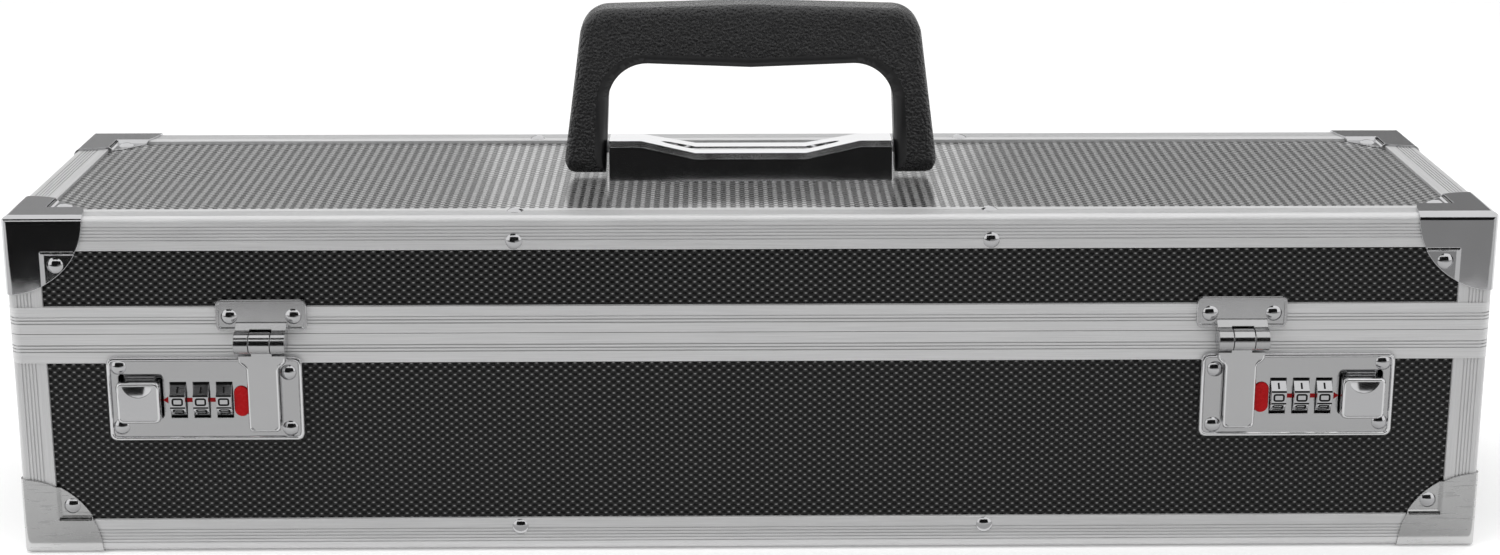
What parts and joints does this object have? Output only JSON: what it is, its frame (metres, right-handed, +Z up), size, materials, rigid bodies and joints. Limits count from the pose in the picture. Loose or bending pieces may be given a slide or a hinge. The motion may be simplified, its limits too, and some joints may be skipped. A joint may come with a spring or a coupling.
{
  "type": "knife case",
  "caption": "Aluminium-framed hard case with a hinged lid, combination latches, foam lining and a folding carrying handle.",
  "frame": {"origin": "middle of the case on the surface that it stands on", "axes": "+X along the case to the right, +Y to the back where the lid hinges, +Z up"},
  "size_m": [0.5014, 0.137, 0.1816],
  "materials": {
    "panel_black_plastic": "embossed gloss black sheet",
    "frame_aluminium": "satin anodised, fine grooves along the length",
    "cap_chrome": "bright plated pressed steel",
    "rivet_steel": "bright plated domes",
    "grey_foam": "dark grey open-cell foam",
    "grip_plastic": "leather-grained black moulding",
    "bracket_chrome": "mirror plated pressed steel",
    "zinc_steel": "zinc plated",
    "latch_chrome": "satin to bright plating",
    "dial_chrome": "bright plated facets with dark numbers",
    "red_plastic": "glossy red"
  },
  "bodies": {
    "base": {"base_back_extrusion": "frame_aluminium", "base_back_panel": "panel_black_plastic", "base_corner_caps": "cap_chrome", "base_corner_posts": "frame_aluminium", "base_floor_panel": "panel_black_plastic", "base_foam_pad": "grey_foam", "base_front_extrusion": "frame_aluminium", "base_front_panel": "panel_black_plastic", "base_left_extrusion": "frame_aluminium", "base_left_panel": "panel_black_plastic", "base_right_extrusion": "frame_aluminium", "base_right_panel": "panel_black_plastic", "base_rim": "frame_aluminium", "base_rivets": "rivet_steel", "dial_axles": "zinc_steel", "dial_springs": "zinc_steel", "hinge_base_leaf_left": "latch_chrome", "hinge_base_leaf_right": "latch_chrome", "hinge_pins": "zinc_steel", "lock_body_left": "zinc_steel", "lock_body_right": "zinc_steel", "lock_plate_left": "latch_chrome", "lock_plate_right": "latch_chrome"},
    "code_button_left": {"code_button_left": "red_plastic"},
    "code_button_right": {"code_button_right": "red_plastic"},
    "dial_left_1": {"dial_left_1": "dial_chrome"},
    "dial_left_2": {"dial_left_2": "dial_chrome"},
    "dial_left_3": {"dial_left_3": "dial_chrome"},
    "dial_right_1": {"dial_right_1": "dial_chrome"},
    "dial_right_2": {"dial_right_2": "dial_chrome"},
    "dial_right_3": {"dial_right_3": "dial_chrome"},
    "lid": {"handle_backing_plate": "zinc_steel", "handle_bracket": "bracket_chrome", "handle_pins": "zinc_steel", "hasp_bracket_left": "latch_chrome", "hasp_bracket_right": "latch_chrome", "hasp_pins": "zinc_steel", "hinge_lid_leaf_left": "latch_chrome", "hinge_lid_leaf_right": "latch_chrome", "lid_back_extrusion": "frame_aluminium", "lid_back_panel": "panel_black_plastic", "lid_corner_caps": "cap_chrome", "lid_corner_posts": "frame_aluminium", "lid_foam_pad": "grey_foam", "lid_front_extrusion": "frame_aluminium", "lid_front_panel": "panel_black_plastic", "lid_left_extrusion": "frame_aluminium", "lid_left_panel": "panel_black_plastic", "lid_right_extrusion": "frame_aluminium", "lid_right_panel": "panel_black_plastic", "lid_rim": "frame_aluminium", "lid_rivets": "rivet_steel", "lid_top_panel": "panel_black_plastic"},
    "handle": {"handle_grip": "grip_plastic"},
    "hasp_left": {"hasp_left": "latch_chrome"},
    "hasp_right": {"hasp_right": "latch_chrome"},
    "slide_button_left": {"slide_button_left": "latch_chrome"},
    "slide_button_right": {"slide_button_right": "latch_chrome"}
  },
  "joints": [
    {"name": "lid_hinge", "type": "hinge", "parent": "base", "child": "lid", "pos_m": [0, 0.0647, 0.0792], "axis": [-1, 0, 0], "range_deg": [0, 95]},
    {"name": "handle_pivot", "type": "hinge", "parent": "lid", "child": "handle", "pos_m": [0, 0, 0.1289], "axis": [1, 0, 0], "range_deg": [-90, 90]},
    {"name": "hasp_left_hinge", "type": "hinge", "parent": "lid", "child": "hasp_left", "pos_m": [-0.1652, -0.0647, 0.0775], "axis": [-1, 0, 0], "range_deg": [0, 110]},
    {"name": "slide_button_left_slide", "type": "slide", "parent": "base", "child": "slide_button_left", "axis": [-1, 0, 0], "range_m": [0, 0.0025], "stiffness_N_per_m": 300},
    {"name": "code_button_left_press", "type": "slide", "parent": "base", "child": "code_button_left", "axis": [0, 1, 0], "range_m": [0, 0.0005], "stiffness_N_per_m": 300},
    {"name": "dial_left_1_turn", "type": "hinge", "parent": "base", "child": "dial_left_1", "pos_m": [-0.1944, -0.0573, 0.0562], "axis": [1, 0, 0], "continuous": true},
    {"name": "dial_left_2_turn", "type": "hinge", "parent": "base", "child": "dial_left_2", "pos_m": [-0.1866, -0.0573, 0.0562], "axis": [1, 0, 0], "continuous": true},
    {"name": "dial_left_3_turn", "type": "hinge", "parent": "base", "child": "dial_left_3", "pos_m": [-0.1788, -0.0573, 0.0562], "axis": [1, 0, 0], "continuous": true},
    {"name": "hasp_right_hinge", "type": "hinge", "parent": "lid", "child": "hasp_right", "pos_m": [0.1652, -0.0647, 0.0775], "axis": [-1, 0, 0], "range_deg": [0, 110]},
    {"name": "slide_button_right_slide", "type": "slide", "parent": "base", "child": "slide_button_right", "axis": [1, 0, 0], "range_m": [0, 0.0025], "stiffness_N_per_m": 300},
    {"name": "code_button_right_press", "type": "slide", "parent": "base", "child": "code_button_right", "axis": [0, 1, 0], "range_m": [0, 0.0005], "stiffness_N_per_m": 300},
    {"name": "dial_right_1_turn", "type": "hinge", "parent": "base", "child": "dial_right_1", "pos_m": [0.1788, -0.0573, 0.0562], "axis": [1, 0, 0], "continuous": true},
    {"name": "dial_right_2_turn", "type": "hinge", "parent": "base", "child": "dial_right_2", "pos_m": [0.1866, -0.0573, 0.0562], "axis": [1, 0, 0], "continuous": true},
    {"name": "dial_right_3_turn", "type": "hinge", "parent": "base", "child": "dial_right_3", "pos_m": [0.1944, -0.0573, 0.0562], "axis": [1, 0, 0], "continuous": true}
  ]
}
